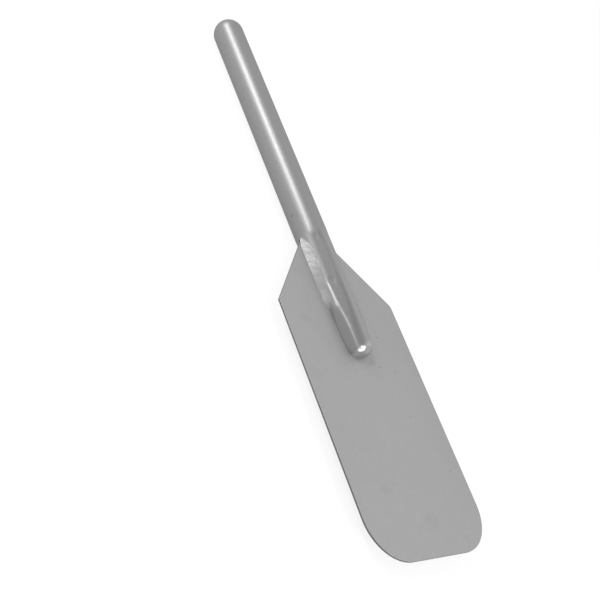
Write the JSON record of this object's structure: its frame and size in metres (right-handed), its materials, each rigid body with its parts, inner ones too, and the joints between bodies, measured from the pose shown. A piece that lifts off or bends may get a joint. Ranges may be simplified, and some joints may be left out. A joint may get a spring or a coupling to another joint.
{
  "type": "mixing paddle",
  "caption": "Stainless steel hand mixing paddle: flat sheet blade with rounded bottom corners and sloping shoulders, welded into the slit end of a round tube handle with a domed tip.",
  "frame": {"origin": "middle of the paddle's length on the handle's axis, at the level of the tube's underside", "axes": "+X along the handle from the blade towards the domed end, +Y across the blade to its left as seen from the front with the dome away, +Z out of the blade's front face"},
  "size_m": [0.6, 0.15, 0.032],
  "materials": {
    "stainless_steel": "satin",
    "weld_metal": "ground"
  },
  "bodies": {
    "root": {"blade": "stainless_steel", "handle_tube": "stainless_steel", "end_cap": "stainless_steel", "cap_weld": "weld_metal", "nose_plug_front": "stainless_steel", "nose_plug_back": "stainless_steel", "seam_weld_front_left": "weld_metal", "seam_weld_front_right": "weld_metal", "seam_weld_back_left": "weld_metal", "seam_weld_back_right": "weld_metal", "root_weld_left": "weld_metal", "root_weld_right": "weld_metal"}
  },
  "joints": []
}
